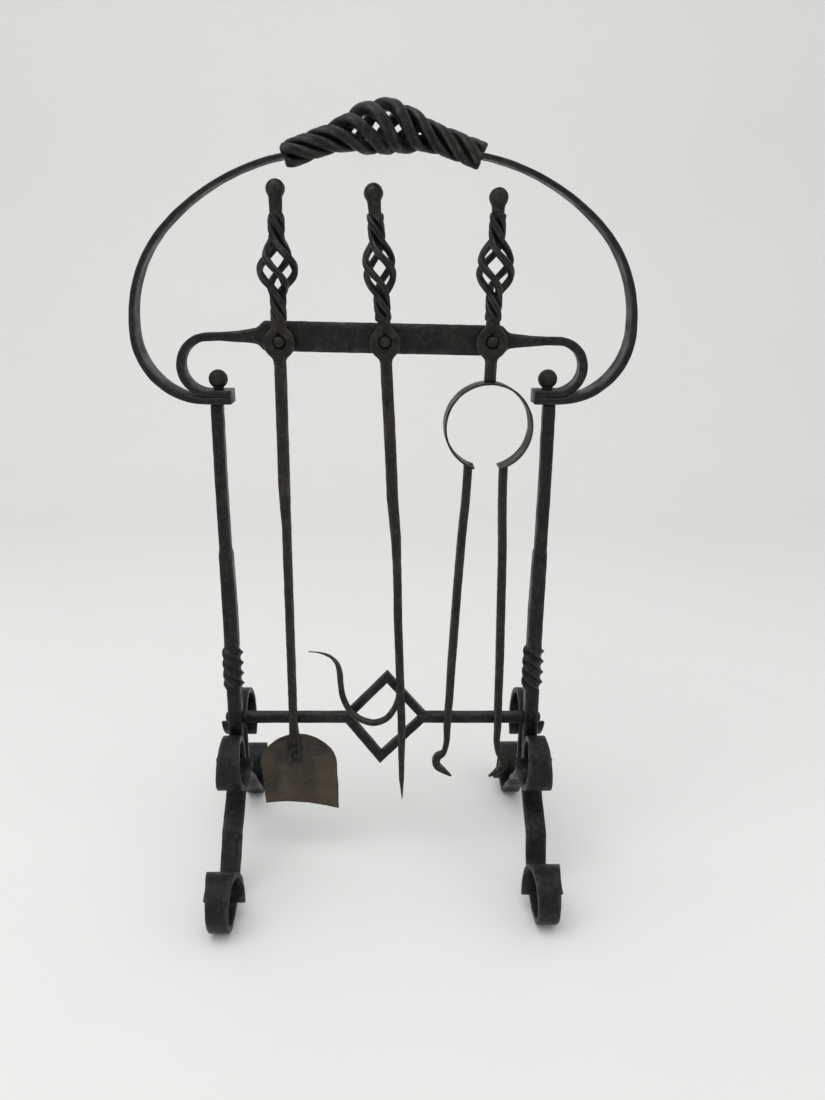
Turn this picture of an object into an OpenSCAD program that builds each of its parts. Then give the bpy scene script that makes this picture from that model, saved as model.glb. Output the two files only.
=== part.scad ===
// Fireplace tool set: a forged stand with a basket-twist carrying handle, and a shovel,
// a poker and tongs that hang on three pegs. X is across the stand, -Y is the front and
// the feet stand on Z = 0, half way between them.

/* [Posts] */
// Distance from the middle of the stand to each post
post_x = 168; // [150:1:185]
// Side of the square bar above the step
post_top_side = 12.4; // [10:0.1:16]
// Side of the square bar below the step
post_side = 15.4; // [14:0.1:18]
// Height of the shoulder that the hoop and the crossbar rest on
shoulder_z = 528.5; // [500:0.5:560]
// Height where the bar starts to thicken
step_z = 372; // [330:1:420]
// Height of the middle of the twisted stretch
twist_z = 233.5; // [225:0.5:245]
// Length of the twisted stretch
twist_len = 50; // [30:1:70]
// Diameter of the ball on each post
ball_d = 19.5; // [14:0.5:24]

/* [Hoop and carrying handle] */
// Thickness of the flat bar of the hoop and the scrolls
bar_t = 7; // [4:0.5:8]
// Width of the flat bar where the hoop and the scrolls rest on the posts
bar_w = 30; // [24:1:32]
// Rod diameter at the ends of the carrying handle
strand_d = 9.6; // [8:0.2:10.4]
// Rod diameter in the middle of the carrying handle
strand_mid_d = 11.2; // [9:0.2:12]
// Distance that the four strands take for one whole turn
strand_pitch = 84; // [70:1:110]
// Radius of the basket at its middle, to the centre of a strand
basket_r = 19; // [14:0.2:20]

/* [Crossbar and pegs] */
// Height of the crossbar plate
plate_h = 30; // [24:1:36]
// Thickness of the crossbar plate
plate_t = 6; // [4:0.5:8]
// Height of the peg axes
peg_z = 590.7; // [588:0.1:594]
// Diameter of each peg
peg_d = 11; // [8:0.5:12]
// Diameter of the hole in each tool's eye
eye_hole_d = 12.4; // [12:0.1:14]
// How far in front of the posts the tools hang
tool_y = -14; // [-16:0.5:-13]

/* [Lower rail] */
// Height of the rail's middle
rail_z = 172; // [165:0.5:180]
// Side of the square rail
rail_side = 11; // [10:0.1:14]
// Part of the diamond's half width that is open
diamond_open = 0.75; // [0.66:0.01:0.8]

/* [Base] */
// Longest distance from the posts to the middle of a foot curl
foot_y = 137; // [130:1:145]
// Outer radius of a foot curl
foot_r = 31; // [28:1:33]
// Thickness of the leg bar
leg_t = 6; // [5:0.5:8]
// Width of the leg bar at the post
leg_w = 22.5; // [18:0.5:24]
// Width of the leg bar at its fishtail ends
fishtail_w = 45; // [32:1:46]

/* [Tools] */
// Rod diameter of the tool handles
rod_d = 6.2; // [5:0.1:6.6]
// Radius of the open cage, to the centre of a rod
cage_r = 17.3; // [14:0.1:19]
// Diameter of the knob on each handle
knob_d = 18.6; // [15:0.1:21]
// Width of the shovel pan
pan_w = 87; // [76:1:90]
// Outer radius of the tongs' spring bow
bow_r = 44.7; // [40:0.1:46]
// Width of the bow strip
bow_w = 27; // [20:1:28]

/* [Hidden] */

iron = "#3b3d3e";
worn_iron = "#5a564e";
rust = "#7a6553";
left = -1;
right = 1;
front = -1;
rear = 1;

// --- curves and skins -------------------------------------------------------------------

// Points along an arc; the radius may change evenly from r0 to r1
function arc(centre, r0, r1, a0, a1, steps) = [for (i = [0:steps])
    let (k = i / steps, a = a0 + (a1 - a0) * k, r = r0 + (r1 - r0) * k)
    [centre[0] + r * cos(a), centre[1] + r * sin(a)]];

function unit(v) = v / norm(v);
function tangent(path, i) = unit(path[min(i + 1, len(path) - 1)] - path[max(i - 1, 0)]);
function clamp01(v) = min(1, max(0, v));
// A smooth step from 0 to 1 as v goes from lo to hi
function ease(v, lo, hi) = let (k = clamp01((v - lo) / (hi - lo))) k * k * (3 - 2 * k);
// The value at x on a curve given by knots [x, value]
function along(knots, x) = lookup(x, knots);

// Distance walked along a path up to each of its points
function walked(path, i = 0, total = 0) = i >= len(path) ? [] :
    let (d = i == 0 ? 0 : norm(path[i] - path[i - 1]))
    concat([total + d], walked(path, i + 1, total + d));

// Skins a list of equal rings, drawn clockwise when seen along the path, and closes both ends
module loft(rings) {
    n = len(rings[0]);
    m = len(rings);
    polyhedron(
        points = [for (ring = rings) each ring],
        faces = concat(
            [[for (j = [0:n - 1]) j]],
            [for (i = [0:m - 2], j = [0:n - 1]) let (k = (j + 1) % n)
                [i * n + j, (i + 1) * n + k, i * n + k]],
            [for (i = [0:m - 2], j = [0:n - 1]) let (k = (j + 1) % n)
                [i * n + j, (i + 1) * n + j, (i + 1) * n + k]],
            [[for (j = [n - 1:-1:0]) (m - 1) * n + j]]),
        convexity = 8);
}

// A flat bar bent in the XY plane: t and w give its thickness and its width at each point
module bent_bar(path, t, w) {
    loft([for (i = [0:len(path) - 1])
        let (d = tangent(path, i), side = [-d[1], d[0]] * t[i] / 2, a = path[i] + side, b = path[i] - side)
        [[a[0], a[1], -w[i] / 2], [a[0], a[1], w[i] / 2], [b[0], b[1], w[i] / 2], [b[0], b[1], -w[i] / 2]]]);
}

// A round bar along a path in space; out gives a direction that each ring starts from
module round_bar(path, out, r, sides) {
    loft([for (i = [0:len(path) - 1])
        let (d = tangent(path, i), e = unit(out[i] - d * (d * out[i])), f = cross(d, e))
        [for (j = [0:sides - 1]) let (a = 360 * (j + 0.5) / sides)
            path[i] + r[i] * (sin(a) * f + cos(a) * e)]]);
}

// Stands the XY plane up: Y becomes Z and the front faces -Y
module upright() { rotate([90, 0, 0]) children(); }
module on_side(side) { mirror([side == left ? 1 : 0, 0, 0]) children(); }

// --- stand ------------------------------------------------------------------------------

post_foot_z = 100;
tenon_d = 8;
rail_tenon_d = 9;
rivet_d = 7;
rivet_z = [122, 112];
post_slope_z = 295;
post_step_side = 14.4;
post_splay = 2.5;
twist_steps = 24;
twist_swell = 1.9;

// Square bar from the foot of the post to its shoulder: twisted low down, drawn thinner and
// leaning outwards above. Stations are [height, side, turn, distance out]
post_stations = concat(
    [[post_foot_z, post_side, 0, 0]],
    [for (i = [0:twist_steps]) let (k = i / twist_steps, swell = ease(sin(180 * k), 0, 0.3))
        [twist_z + twist_len * (k - 0.5), post_side + twist_swell * swell, 360 * k, 0]],
    [[post_slope_z, post_side, 360, 0], [step_z - 6, post_step_side, 360, 0.5 * post_splay],
        [step_z, post_top_side, 360, 0.6 * post_splay], [450, post_top_side, 360, post_splay],
        [shoulder_z, post_top_side, 360, post_splay]]);

module post(side) {
    color(iron) translate([side * post_x, 0, 0]) difference() {
        union() {
            loft([for (p = post_stations) [for (c = [[-1, -1], [1, -1], [1, 1], [-1, 1]])
                let (h = p[1] / 2, a = p[2], x = h * (c[0] * cos(a) + c[1] * sin(a)))
                [side * p[3] + x, h * (c[1] * cos(a) - c[0] * sin(a)), p[0]]]]);
            translate([0, 0, shoulder_z - 2]) cylinder(h = 2 + 2 * bar_t + 8, d = tenon_d, $fn = 48);
        }
        translate([0, 0, rail_z]) rotate([0, 90, 0])
            cylinder(h = 2 * post_side, d = rail_tenon_d, center = true, $fn = 48);
        for (z = rivet_z) translate([0, 0, z]) rotate([90, 0, 0])
            cylinder(h = 2 * post_side, d = rivet_d, center = true, $fn = 48);
    }
}

module post_ball(side) {
    stack_z = shoulder_z + 2 * bar_t;
    color(worn_iron) translate([side * post_x, 0, stack_z]) difference() {
        union() {
            cylinder(h = ball_d / 2, d = 0.56 * ball_d, $fn = 48);
            translate([0, 0, 0.53 * ball_d]) sphere(d = ball_d, $fn = 48);
        }
        translate([0, 0, -1]) cylinder(h = 9, d = tenon_d, $fn = 48);
    }
}

// Right half of the hoop, from its end on the post to the carrying handle
hoop_low_r = 70;
hoop_mid_r = 132;
hoop_top_r = 224;
hoop_side_x = 249;
hoop_side_z = 607.5;
bar_overhang = 13.5;
hoop_low = [hoop_side_x - hoop_low_r, shoulder_z + bar_t / 2 + hoop_low_r];
hoop_mid = [hoop_side_x - hoop_mid_r, hoop_side_z];
hoop_top = hoop_mid + (hoop_top_r - hoop_mid_r) * [-cos(45), -sin(45)];
hoop_end_a = 79.6;
hoop_path = concat(
    [[post_x - bar_overhang, shoulder_z + bar_t / 2], [post_x, shoulder_z + bar_t / 2]],
    arc(hoop_low, hoop_low_r, hoop_low_r, 270, 360, 16),
    arc(hoop_mid, hoop_mid_r, hoop_mid_r, 0, 45, 10),
    [for (i = [1:8]) arc(hoop_top, hoop_top_r, hoop_top_r, 45, hoop_end_a, 8)[i]]);

// The bar is drawn thinner and narrower on its way up
hoop_width = [[0, bar_w], [90, bar_w], [165, 23], [325, 17], [600, 15]];
hoop_thick = [[0, bar_t], [60, bar_t], [150, 6], [300, 5.2], [600, 5]];

module hoop_arm(side) {
    s = walked(hoop_path);
    color(iron) on_side(side) difference() {
        upright() bent_bar(hoop_path,
            [for (v = s) along(hoop_thick, v)], [for (v = s) along(hoop_width, v)]);
        translate([post_x, 0, shoulder_z - 1]) cylinder(h = bar_t + 2, d = tenon_d, $fn = 48);
    }
}

// The four strands wind round a peaked arch between the hoop's two ends
arch_end = hoop_path[len(hoop_path) - 1];
arch_rise = 25.8;
arch_power = 1.4;
strand_tight_r = 0.825 * strand_d;

function arch_point(x) = [x, 0, arch_end[1] + arch_rise * (1 - pow(abs(x) / arch_end[0], arch_power))];
function arch_up(x) =
    let (slope = arch_power * arch_rise / arch_end[0] * pow(abs(x) / arch_end[0], arch_power - 1))
    unit([sign(x) * slope, 0, 1]);
function strand_swell(x) = exp(-pow(abs(x) / 33, 2.5));

module handle_strand(k) {
    steps = 56;
    xs = [for (i = [0:steps]) (2 * i / steps - 1) * arch_end[0]];
    out = [for (x = xs) let (turn = 90 * k - 360 * (x - 2) / strand_pitch)
        cos(turn) * arch_up(x) + sin(turn) * [0, 1, 0]];
    path = [for (i = [0:steps]) arch_point(xs[i])
        + out[i] * (strand_tight_r + (basket_r - strand_tight_r) * strand_swell(xs[i]))];
    color(iron) round_bar(path, out,
        [for (x = xs) (strand_d + (strand_mid_d - strand_d) * strand_swell(x)) / 2], 8);
}

// Crossbar: an upright plate whose ends flatten and scroll down onto the posts
plate_half = 122;
plate_z = 595;
plate_tilt = 1.2;
plate_pivot_x = -85;
scroll_bottom_z = shoulder_z + 1.5 * bar_t;
scroll_top_z = [594.8, 590.4];
scroll_x = [post_x + 8.6, post_x + 9];
// Height of the plate's middle at x: it was riveted up a little out of level
function plate_mid_z(x) = plate_z - (x - plate_pivot_x) * tan(plate_tilt);

// From the plate's end out to the scroll and down onto the post, drawn for the right side
function scroll_path(side) = let (k = side == left ? 0 : 1, z = plate_mid_z(side * plate_half),
        r = (scroll_top_z[k] - scroll_bottom_z) / 2, c = [scroll_x[k], scroll_bottom_z + r])
    concat([[plate_half - 2, z], [plate_half + 1, z], [plate_half + 4, z],
            [plate_half + 26, (z + 2 * scroll_top_z[k]) / 3]],
        arc(c, r, r, 90, -90, 24), [[post_x, scroll_bottom_z], [post_x - bar_overhang, scroll_bottom_z]]);
scroll_t = [[0, plate_h], [3, plate_h - 4], [7, 16], [28, 10.8], [44, 8.4], [102, 8.4], [137, bar_t],
    [200, bar_t]];
scroll_w = [[0, plate_t], [7, plate_t], [28, 9], [54, 11], [97, 15], [122, 23], [142, bar_w], [200, bar_w]];

module crossbar() {
    color(iron) difference() {
        union() {
            translate([plate_pivot_x, 0, plate_z]) rotate([0, plate_tilt, 0])
                translate([-plate_pivot_x, 0, 0])
                cube([2 * plate_half - 4, plate_t, plate_h], center = true);
            for (side = [left, right]) let (path = scroll_path(side), s = walked(path))
                on_side(side) upright()
                    bent_bar(path, [for (v = s) along(scroll_t, v)], [for (v = s) along(scroll_w, v)]);
        }
        for (x = peg_x) translate([x, 0, peg_z]) rotate([90, 0, 0])
            cylinder(h = 4 * plate_t, r = peg_d / 2 + 0.05, center = true, $fn = 64);
        for (side = [left, right]) translate([side * post_x, 0, scroll_bottom_z])
            cylinder(h = 2 * bar_t, d = tenon_d, center = true, $fn = 48);
    }
}

peg_x = [-103, 2, 108.2];
peg_tip_y = -24;
peg_head_gap = 0.2;

module peg(x) {
    profile = concat(
        [[0, peg_tip_y], [3, peg_tip_y + 0.6], [4.4, peg_tip_y + 2], [peg_d / 2, peg_tip_y + 4]],
        [[peg_d / 2, plate_t / 2 + peg_head_gap], [7, plate_t / 2 + peg_head_gap]],
        [[7, plate_t / 2 + 2], [5, plate_t / 2 + 3.4], [0, plate_t / 2 + 4]]);
    color(worn_iron) translate([x, 0, peg_z]) rotate([-90, 0, 0])
        rotate_extrude($fn = 64) polygon(profile);
}

// Lower rail in two halves, with a diamond of two bent bars between them
diamond = [[53, 173], [5, 229], [-48, 173], [-3.5, 114.5]];
diamond_c = [3, 174];
diamond_t = 9;
rail_end_x = [-38, 43];

module diamond_outline(k) {
    polygon([for (p = diamond) diamond_c + (p - diamond_c) * k]);
}

module rail(side) {
    inner = side == left ? -rail_end_x[0] : rail_end_x[1];
    outer = post_x - post_side / 2;
    color(iron) difference() {
        on_side(side) union() {
            translate([(inner + outer) / 2, 0, rail_z])
                cube([outer - inner, rail_side, rail_side], center = true);
            translate([outer, 0, rail_z]) rotate([0, 90, 0])
                cylinder(h = post_side, d = rail_tenon_d, $fn = 48);
            translate([outer + post_side, 0, rail_z]) rotate([0, 90, 0])
                rotate_extrude($fn = 48) polygon([[0, 0], [6.5, 0], [6.5, 1.4], [4.5, 3], [0, 3.8]]);
        }
        upright() linear_extrude(2 * rail_side, center = true) diamond_outline(1);
    }
}

module diamond_half(up) {
    color(iron) upright() linear_extrude(diamond_t, center = true) intersection() {
        difference() {
            diamond_outline(1);
            diamond_outline(diamond_open);
        }
        translate([-100, up ? 173 : -27]) square([200, 200]);
    }
}

// A leg: an S of flat bar, drawn in (distance from the post, height). The four were forged by
// eye: curl_z and sweep_r are for [front, rear], and the foot distances are for [left, right]
leg_back = post_side / 2 + leg_t / 2;
curl_r = 27;
curl_z = [134.5, 158];
foot_sink = 0.6;
foot_bottom_z = leg_t / 2 - foot_sink;
front_foot_y = [foot_y, foot_y - 13];
rear_foot_y = [foot_y - 3, foot_y];
foot_mid_r = foot_r - leg_t / 2;
knee = [56, 61];
sweep_r = [62, 30];
// The front right leg sits a little outwards of its post
leg_out = 2.5;

function foot_at(side, end) = (end == front ? front_foot_y : rear_foot_y)[side == left ? 0 : 1];
function leg_path(side, end) = let (i = end == front ? 0 : 1, curl = [leg_back + curl_r, curl_z[i]],
        foot = [foot_at(side, end), foot_bottom_z + foot_mid_r], r = sweep_r[i])
    concat(arc(curl, 16, curl_r, 195, 290, 9),
        [for (i = [1:20]) arc(curl, curl_r, curl_r, 290, 540, 20)[i]],
        arc([leg_back + 22, 108], 22, 22, 180, 222, 6),
        arc(knee - [2, 4], 4, 4, 56, 26, 3),
        arc([foot[0] - 6, foot_bottom_z + r], r, r, 216, 270, 8),
        [for (i = [0:20]) arc(foot, foot_mid_r, foot_mid_r, 270, 450, 20)[i]],
        arc(foot, foot_mid_r - 1, 16, 468, 580, 9));
// Widths along the bar: from the upper end, then back from the lower end
upper_width = [[0, 42], [20, 37], [36, 31], [69, 27], [112, 20.5], [154, 20.5], [190, leg_w],
    [500, leg_w]];
lower_width = [[0, fishtail_w], [25, 39], [45, 32], [65, 26], [89, 23], [133, 21.5], [180, leg_w - 1],
    [220, leg_w]];

module leg(side, end) {
    path = leg_path(side, end);
    s = walked(path);
    total = s[len(s) - 1];
    out = side == right && end == front ? leg_out : 0;
    color(iron) translate([side * post_x, 0, 0]) difference() {
        translate([out, 0, 0]) mirror([0, end == front ? 1 : 0, 0]) rotate([90, 0, 90])
            bent_bar(path, [for (v = s) leg_t],
                [for (v = s) total - v > 220 ? along(upper_width, v) : along(lower_width, total - v)]);
        translate([-50, -200, -20]) cube([100, 400, 20]);
        for (z = rivet_z) translate([0, 0, z]) rotate([90, 0, 0])
            cylinder(h = 2 * (leg_back + leg_t), d = rivet_d, center = true, $fn = 48);
    }
}

module leg_rivets(side) {
    reach = leg_back + leg_t / 2;
    color(worn_iron) for (z = rivet_z) translate([side * post_x, 0, z]) rotate([90, 0, 0])
        rotate_extrude($fn = 48) polygon([[0, -reach - 2.4], [3, -reach - 2], [4.6, -reach],
            [rivet_d / 2, -reach], [rivet_d / 2, reach], [4.6, reach], [3, reach + 2], [0, reach + 2.4]]);
}

// --- tools ------------------------------------------------------------------------------

// Each tool is drawn round its peg axis and hangs with its eye on top of the peg
shovel = 0;
poker = 1;
tongs = 2;
handle_lean = [0.3, -4.6, 0.8];
shank_lean = [0, -2.05, 1];
stem_top = [141.5, 138, 133.5];
twist_lo = 22;
twist_hi = 118;
cage_lo = 0.235;
cage_hi = 0.765;
cage_share = [1, 0.86, 1];
handle_turn = [27, -10, -10];
whole_turn = 430;
rod_tight_r = 0.815 * rod_d;
eye_t = 7;
eye_r = 15.6;
eye_sink = 1;
eye_drop = eye_hole_d / 2 - peg_d / 2 - 0.03;

module hang(tool) { translate([peg_x[tool], tool_y, peg_z]) children(); }
module lean(a) { rotate([0, a, 0]) children(); }

// One of the four rods of a handle: tight at both ends and open in the middle
module handle_rod(tool, k) {
    steps = 36;
    u = [for (i = [0:steps]) i / steps];
    turn = [for (v = u) 90 * k + handle_turn[tool] - whole_turn * (v + 0.3 * sin(360 * v) / (2 * PI))];
    out = [for (a = turn) [cos(a), sin(a), 0]];
    path = [for (i = [0:steps])
        let (v = clamp01((u[i] - cage_lo) / (cage_hi - cage_lo)),
            r = rod_tight_r + (cage_share[tool] * cage_r - rod_tight_r) * pow(sin(180 * v), 1.25))
        [r * out[i][0], r * out[i][1], twist_lo + (twist_hi - twist_lo) * u[i]]];
    color(iron) hang(tool) lean(handle_lean[tool]) round_bar(path, out, [for (v = u) rod_d / 2], 8);
}

module knob(tool) {
    z = stem_top[tool];
    color(worn_iron) hang(tool) lean(handle_lean[tool]) union() {
        translate([0, 0, twist_hi]) cylinder(h = z - twist_hi, d1 = 12.4, d2 = 13.4, $fn = 48);
        translate([0, 0, z]) sphere(d = knob_d, $fn = 48);
    }
}

// Neck, flat eye and the shoulder below it, round the peg
module eye(tool, shank_w) {
    neck_w = 12.4;
    color(worn_iron) hang(tool) difference() {
        union() {
            lean(handle_lean[tool]) cylinder(h = twist_lo, d = neck_w, $fn = 48);
            rotate([90, 0, 0]) translate([0, -eye_drop - eye_sink, 0])
                cylinder(h = eye_t, r = eye_r, center = true, $fn = 64);
            lean(shank_lean[tool]) upright() linear_extrude(eye_t, center = true)
                polygon([[-12, -12], [12, -12], [shank_w / 2, -22], [-shank_w / 2, -22]]);
            upright() linear_extrude(eye_t, center = true)
                polygon([[-neck_w / 2, 18], [neck_w / 2, 18], [12, 6], [-12, 6]]);
        }
        rotate([90, 0, 0]) translate([0, -eye_drop, 0])
            cylinder(h = 3 * eye_t, d = eye_hole_d, center = true, $fn = 64);
        // The neck's front and back are flattened towards the eye
        for (face = [front, rear]) translate([0, face * (eye_t / 2 + 10), 0])
            rotate([face * -7, 0, 0]) cube([40, 20, 30], center = true);
    }
}

// A straight drawn bar down from the eye: knots give [height, x, width, depth]
module shank(tool, knots) {
    color(worn_iron) hang(tool) lean(shank_lean[tool])
        loft([for (k = knots) let (w = k[2] / 2, d = k[3] / 2, c = 0.3)
            [for (p = [[w, -d * c], [w * c, -d], [-w * c, -d], [-w, -d * c], [-w, d * c], [-w * c, d],
                [w * c, d], [w, d * c]]) [k[1] + p[0], p[1], k[0]]]]);
}

shaft_x = 0.4;
tab_t = 4;
pan_back_y = 2;
pan_t = 1.8;

module shovel_shank() {
    eye(shovel, 12);
    shank(shovel, [[-18, 0, 12, 7], [-24, shaft_x, 12, 9], [-150, shaft_x, 12, 9],
        [-190, shaft_x + 1, 9.6, 8], [-418, shaft_x + 1.6, 9.4, 7],
        [-436, shaft_x + 2, 12, tab_t], [-468, shaft_x + 2, 15, tab_t]]);
}

// Outline of the pan in X and height, round the shaft's lower end
pan_x = 7.3;
pan_top = -433;
pan_low = -523;
pan_shoulder = -464;

module pan_outline() {
    half = pan_w / 2;
    polygon(concat(
        [[pan_x - half + 4, pan_low + 3], [pan_x + half + 1.5, pan_low - 3]],
        [for (a = [0:6:180]) [pan_x + (half - 2 * abs(sin(a))) * cos(a),
            pan_shoulder + (pan_top - pan_shoulder) * sin(a)]]));
}

pan_bend_r = 130;

module shovel_pan() {
    color(rust) hang(shovel) intersection() {
        upright() linear_extrude(60, center = true) pan_outline();
        translate([pan_x, pan_back_y + pan_t - pan_bend_r, pan_low - 10])
            rotate_extrude($fn = 200) translate([pan_bend_r - pan_t, 0]) square([pan_t, 110]);
        translate([pan_x - 60, -20, pan_low - 10]) cube([120, 60, 110]);
    }
}

module shovel_rivets() {
    color(worn_iron) hang(shovel) for (z = [-445, -459]) translate([shaft_x + 2, 0, z]) rotate([90, 0, 0])
        rotate_extrude($fn = 40) polygon([[0, -5.6], [3.6, -4.4], [3.6, -3.9], [2, -3.9],
            [2, tab_t / 2], [3.6, tab_t / 2], [2.6, 3.4], [0, 4]]);
}

module poker_shank() {
    eye(poker, 12);
    shank(poker, [[-18, 0, 12, 7], [-26, 0.4, 12, 9], [-97, 1.7, 12, 9], [-160, 2.2, 12, 9],
        [-203, 4.4, 10.8, 8.5], [-226, 4.5, 9.4, 8], [-248, 4.6, 9.2, 8], [-293, 3.7, 9.3, 8],
        [-413, 4, 9, 8], [-450, 2.9, 8, 7], [-490, 1.7, 5.8, 5.8], [-517, 1.6, 1.2, 1.2]]);
}

// The poker's side hook, from the shaft round and up to its point
hook_path = [[15.5, -374], [15.4, -387], [9.5, -403.5], [0, -415], [-12.5, -419], [-27, -414.5],
    [-39.5, -403], [-46.5, -388], [-49, -372], [-50, -357.5], [-53.2, -346], [-60, -338.5],
    [-70.5, -334], [-84, -332.3]];

module poker_hook() {
    n = len(hook_path) - 1;
    color(worn_iron) hang(poker) upright() bent_bar(hook_path,
        [for (i = [0:n]) 6.6 - 5.4 * ease(i, n - 5, n)], [for (i = [0:n]) 7 - 5.6 * ease(i, n - 4, n)]);
}

bow_c_z = -84;
bow_t = 2.2;
bow_end_x = 13.4;
crown_gap = 0.5;
crown_z = bow_c_z + bow_r;
stem_gap = 0.25;

module tongs_shank() {
    eye(tongs, 11.5);
    shank(tongs, [[-18, 0, 11.5, 7], [-26, 0, 11.5, 8], [crown_z + stem_gap, 0, 11.5, 8]]);
}

// Half of the spring bow, with a sliver of clearance at the crown
module tongs_bow(side) {
    top_a = asin(crown_gap / 2 / bow_r);
    end_a = asin(bow_end_x / bow_r);
    color(worn_iron) hang(tongs) lean(shank_lean[tongs]) on_side(side) translate([0, 0, bow_c_z])
        rotate([90, 0, 0]) rotate([0, 0, -90 + end_a])
        rotate_extrude(angle = 180 - end_a - top_a, $fn = 160)
        translate([bow_r - bow_t, -bow_w / 2]) square([bow_t, bow_w]);
}

arm_top_z = bow_c_z - bow_r * cos(asin(18.3 / bow_r));
claw_z = -470;

module tongs_arm(side) {
    out = side == left ? 1.8 : 0;
    path = [[18.3, arm_top_z + 1.4], [18.3, arm_top_z - 4], [22.2, -217], [26, -331], [28.4, -420],
        [29.8, -452], [31, -456.5], [36.6 + out, -463], [37.8 + out, -468],
        [36.4 + out, -473], [30, -480.5], [22, -486.5]];
    t = [8.8, 8.8, 9, 9.2, 8.4, 6, 5.8, 8.5, 9, 8.5, 6, 2.6];
    w = [8, 8, 8, 8, 7, 6, 7, 9, 10, 9, 6, 3];
    color(worn_iron) hang(tongs) lean(shank_lean[tongs]) on_side(side) difference() {
        upright() bent_bar(path, t, w);
        translate([0, 0, bow_c_z]) rotate([90, 0, 0]) cylinder(h = 60, r = bow_r, center = true, $fn = 160);
    }
}

post(left);  // post_left
post(right);  // post_right
post_ball(left);  // post_ball_left
post_ball(right);  // post_ball_right
hoop_arm(left);  // hoop_arm_left
hoop_arm(right);  // hoop_arm_right
handle_strand(1);  // handle_strand_1
handle_strand(2);  // handle_strand_2
handle_strand(3);  // handle_strand_3
handle_strand(4);  // handle_strand_4
crossbar();
peg(peg_x[shovel]);  // peg_shovel
peg(peg_x[poker]);  // peg_poker
peg(peg_x[tongs]);  // peg_tongs
rail(left);  // rail_left
rail(right);  // rail_right
diamond_half(true);  // diamond_upper
diamond_half(false);  // diamond_lower
leg(left, front);  // leg_front_left
leg(right, front);  // leg_front_right
leg(left, rear);  // leg_rear_left
leg(right, rear);  // leg_rear_right
leg_rivets(left);  // leg_rivets_left
leg_rivets(right);  // leg_rivets_right
knob(shovel);  // shovel_knob
handle_rod(shovel, 1);  // shovel_rod_1
handle_rod(shovel, 2);  // shovel_rod_2
handle_rod(shovel, 3);  // shovel_rod_3
handle_rod(shovel, 4);  // shovel_rod_4
shovel_shank();
shovel_pan();
shovel_rivets();
knob(poker);  // poker_knob
handle_rod(poker, 1);  // poker_rod_1
handle_rod(poker, 2);  // poker_rod_2
handle_rod(poker, 3);  // poker_rod_3
handle_rod(poker, 4);  // poker_rod_4
poker_shank();
poker_hook();
knob(tongs);  // tongs_knob
handle_rod(tongs, 1);  // tongs_rod_1
handle_rod(tongs, 2);  // tongs_rod_2
handle_rod(tongs, 3);  // tongs_rod_3
handle_rod(tongs, 4);  // tongs_rod_4
tongs_shank();
tongs_bow(left);  // tongs_bow_left
tongs_bow(right);  // tongs_bow_right
tongs_arm(left);  // tongs_arm_left
tongs_arm(right);  // tongs_arm_right
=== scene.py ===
"""Fireplace tool set: the forged pieces and their finishes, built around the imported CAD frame."""
import math

import bmesh
import bpy
import numpy as np
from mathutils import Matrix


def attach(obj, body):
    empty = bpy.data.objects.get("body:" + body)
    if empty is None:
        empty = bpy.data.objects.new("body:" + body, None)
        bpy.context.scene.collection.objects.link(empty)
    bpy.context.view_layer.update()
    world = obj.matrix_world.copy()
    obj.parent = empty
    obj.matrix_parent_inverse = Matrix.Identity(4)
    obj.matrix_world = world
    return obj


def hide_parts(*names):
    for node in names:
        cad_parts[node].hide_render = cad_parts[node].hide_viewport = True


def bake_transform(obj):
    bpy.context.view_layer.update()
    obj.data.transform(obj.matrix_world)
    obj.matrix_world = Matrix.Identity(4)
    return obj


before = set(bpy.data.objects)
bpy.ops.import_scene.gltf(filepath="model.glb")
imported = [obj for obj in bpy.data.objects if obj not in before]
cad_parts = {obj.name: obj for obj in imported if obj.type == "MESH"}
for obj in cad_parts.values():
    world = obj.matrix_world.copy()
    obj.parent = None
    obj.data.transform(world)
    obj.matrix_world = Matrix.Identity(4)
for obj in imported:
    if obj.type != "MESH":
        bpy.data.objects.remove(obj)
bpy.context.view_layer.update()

# All lengths below are in millimetres; build() turns them into metres.
MM = 0.001
LEFT, RIGHT = -1, 1
FRONT, REAR = -1, 1
SIDES = {"left": LEFT, "right": RIGHT}
X_AXIS = np.array([1.0, 0.0, 0.0])
Y_AXIS = np.array([0.0, 1.0, 0.0])
Z_AXIS = np.array([0.0, 0.0, 1.0])

# --- curves -------------------------------------------------------------------------------


def arc(centre, r0, r1, a0, a1, steps):
    """Points along an arc in a plane; the radius may change evenly from r0 to r1."""
    k = np.linspace(0, 1, steps + 1)
    a = np.radians(a0 + (a1 - a0) * k)
    r = r0 + (r1 - r0) * k
    return np.stack([centre[0] + r * np.cos(a), centre[1] + r * np.sin(a)], 1)


def ease(v, lo, hi):
    """A smooth step from 0 to 1 as v goes from lo to hi."""
    k = np.clip((np.asarray(v, float) - lo) / (hi - lo), 0, 1)
    return k * k * (3 - 2 * k)


def along(knots, x):
    """The value at x on a curve given by knots (x, value)."""
    knots = np.asarray(knots, float)
    return np.interp(x, knots[:, 0], knots[:, 1])


def unit(v):
    """The vectors v, each made one long."""
    return v / np.linalg.norm(v, axis=-1, keepdims=True)


def walked(points):
    """Distance from the first point to each point, along the path."""
    return np.concatenate([[0], np.cumsum(np.linalg.norm(np.diff(points, axis=0), axis=1))])


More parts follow.
